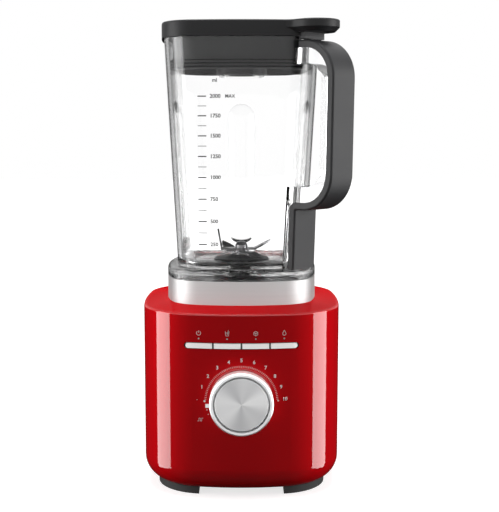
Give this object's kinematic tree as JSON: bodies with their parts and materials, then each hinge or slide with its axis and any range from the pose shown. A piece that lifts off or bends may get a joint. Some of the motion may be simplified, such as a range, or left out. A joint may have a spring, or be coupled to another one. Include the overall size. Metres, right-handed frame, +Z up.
{
  "type": "countertop blender",
  "caption": "Countertop blender: a square clear jar with a corner handle and lid, on a rounded motor base with a speed dial and push buttons.",
  "frame": {"origin": "on the counter, under the motor shaft's axis", "axes": "+Z up, -Y towards the front with the dial, +X to the right seen from the front"},
  "size_m": [0.1954, 0.2092, 0.435],
  "materials": {
    "candy_red": "deep glossy red",
    "charcoal": "satin charcoal",
    "soft_grip": "soft-touch charcoal",
    "black_plastic": "matte black",
    "clear_plastic": "clear and glossy",
    "brushed_band": "brushed around",
    "dial_white": "satin white with a bright edge",
    "dial_metal": "brushed in circles",
    "grey_buttons": "satin light grey",
    "light_white": "milky",
    "black_rubber": "matte",
    "board_green": "matte",
    "steel": "plain steel",
    "blade_steel": "stainless, finely brushed",
    "zinc": "cast",
    "laminations": "stacked sheet",
    "copper": "enamelled copper",
    "brass": "plain",
    "carbon": "matte carbon"
  },
  "bodies": {
    "base": {"base_housing": "candy_red", "bottom_cover": "black_plastic", "foot_front_left": "black_rubber", "foot_front_right": "black_rubber", "foot_rear_left": "black_rubber", "foot_rear_right": "black_rubber", "cover_screws": "steel", "cord_gland": "black_rubber", "jar_collar_band": "brushed_band", "jar_seat": "charcoal", "seat_pad": "black_rubber", "button_frame": "black_plastic", "status_lights": "light_white", "control_board": "board_green", "dial_sensor": "black_plastic", "button_switches": "black_plastic", "motor_top_bracket": "zinc", "motor_bottom_bracket": "zinc", "motor_stator": "laminations", "stator_windings": "copper", "motor_screws": "steel", "motor_bushes": "black_rubber", "mount_screws": "steel", "brush_holder_left": "brass", "brush_holder_right": "brass", "carbon_brush_left": "carbon", "carbon_brush_right": "carbon", "upper_bearing": "steel", "lower_bearing": "steel", "fan_shroud": "black_plastic"},
    "dial": {"dial_ring": "dial_white", "dial_face": "dial_metal", "dial_shaft": "steel"},
    "power_key": {"button_power": "grey_buttons"},
    "smoothie_key": {"button_smoothie": "grey_buttons"},
    "ice_key": {"button_ice": "grey_buttons"},
    "clean_key": {"button_clean": "grey_buttons"},
    "armature": {"motor_shaft": "steel", "armature_core": "laminations", "armature_windings": "copper", "commutator": "copper", "cooling_fan": "black_plastic", "drive_coupling": "black_plastic"},
    "jar_assembly": {"jar": "clear_plastic", "handle_grip": "soft_grip", "blade_carrier": "charcoal", "carrier_seal": "black_rubber", "retaining_nut": "black_plastic", "shaft_bushes": "brass"},
    "blades": {"blade_shaft": "steel", "upper_blade": "blade_steel", "lower_blade": "blade_steel", "blade_nut": "steel", "jar_coupling": "black_plastic"},
    "lid_assembly": {"lid": "charcoal", "lid_gasket": "black_rubber"},
    "cap": {"center_cap": "clear_plastic"}
  },
  "joints": [
    {"name": "dial_turn", "type": "hinge", "parent": "base", "child": "dial", "pos_m": [0, -0.1, 0.092], "axis": [0, 1, 0], "range_deg": [-20, 179]},
    {"name": "power_press", "type": "slide", "parent": "base", "child": "power_key", "axis": [0, 1, 0], "range_m": [0, 0.0015], "stiffness_N_per_m": 400, "springref_m": -0.001},
    {"name": "smoothie_press", "type": "slide", "parent": "base", "child": "smoothie_key", "axis": [0, 1, 0], "range_m": [0, 0.0015], "stiffness_N_per_m": 400, "springref_m": -0.001},
    {"name": "ice_press", "type": "slide", "parent": "base", "child": "ice_key", "axis": [0, 1, 0], "range_m": [0, 0.0015], "stiffness_N_per_m": 400, "springref_m": -0.001},
    {"name": "clean_press", "type": "slide", "parent": "base", "child": "clean_key", "axis": [0, 1, 0], "range_m": [0, 0.0015], "stiffness_N_per_m": 400, "springref_m": -0.001},
    {"name": "motor_spin", "type": "hinge", "parent": "base", "child": "armature", "pos_m": [0, 0, 0.1], "axis": [0, 0, 1], "continuous": true},
    {"name": "jar_lift", "type": "slide", "parent": "base", "child": "jar_assembly", "axis": [0, 0, 1], "range_m": [0, 0.07]},
    {"name": "blade_spin", "type": "hinge", "parent": "jar_assembly", "child": "blades", "pos_m": [0, 0, 0.22], "axis": [0, 0, 1], "continuous": true},
    {"name": "lid_lift", "type": "slide", "parent": "jar_assembly", "child": "lid_assembly", "axis": [0, 0, 1], "range_m": [0, 0.06]},
    {"name": "cap_lift", "type": "slide", "parent": "lid_assembly", "child": "cap", "axis": [0, 0, 1], "range_m": [0, 0.06]}
  ],
  "couplings": [
    {"joint": "blade_spin", "follows": "motor_spin", "ratio": 1}
  ]
}
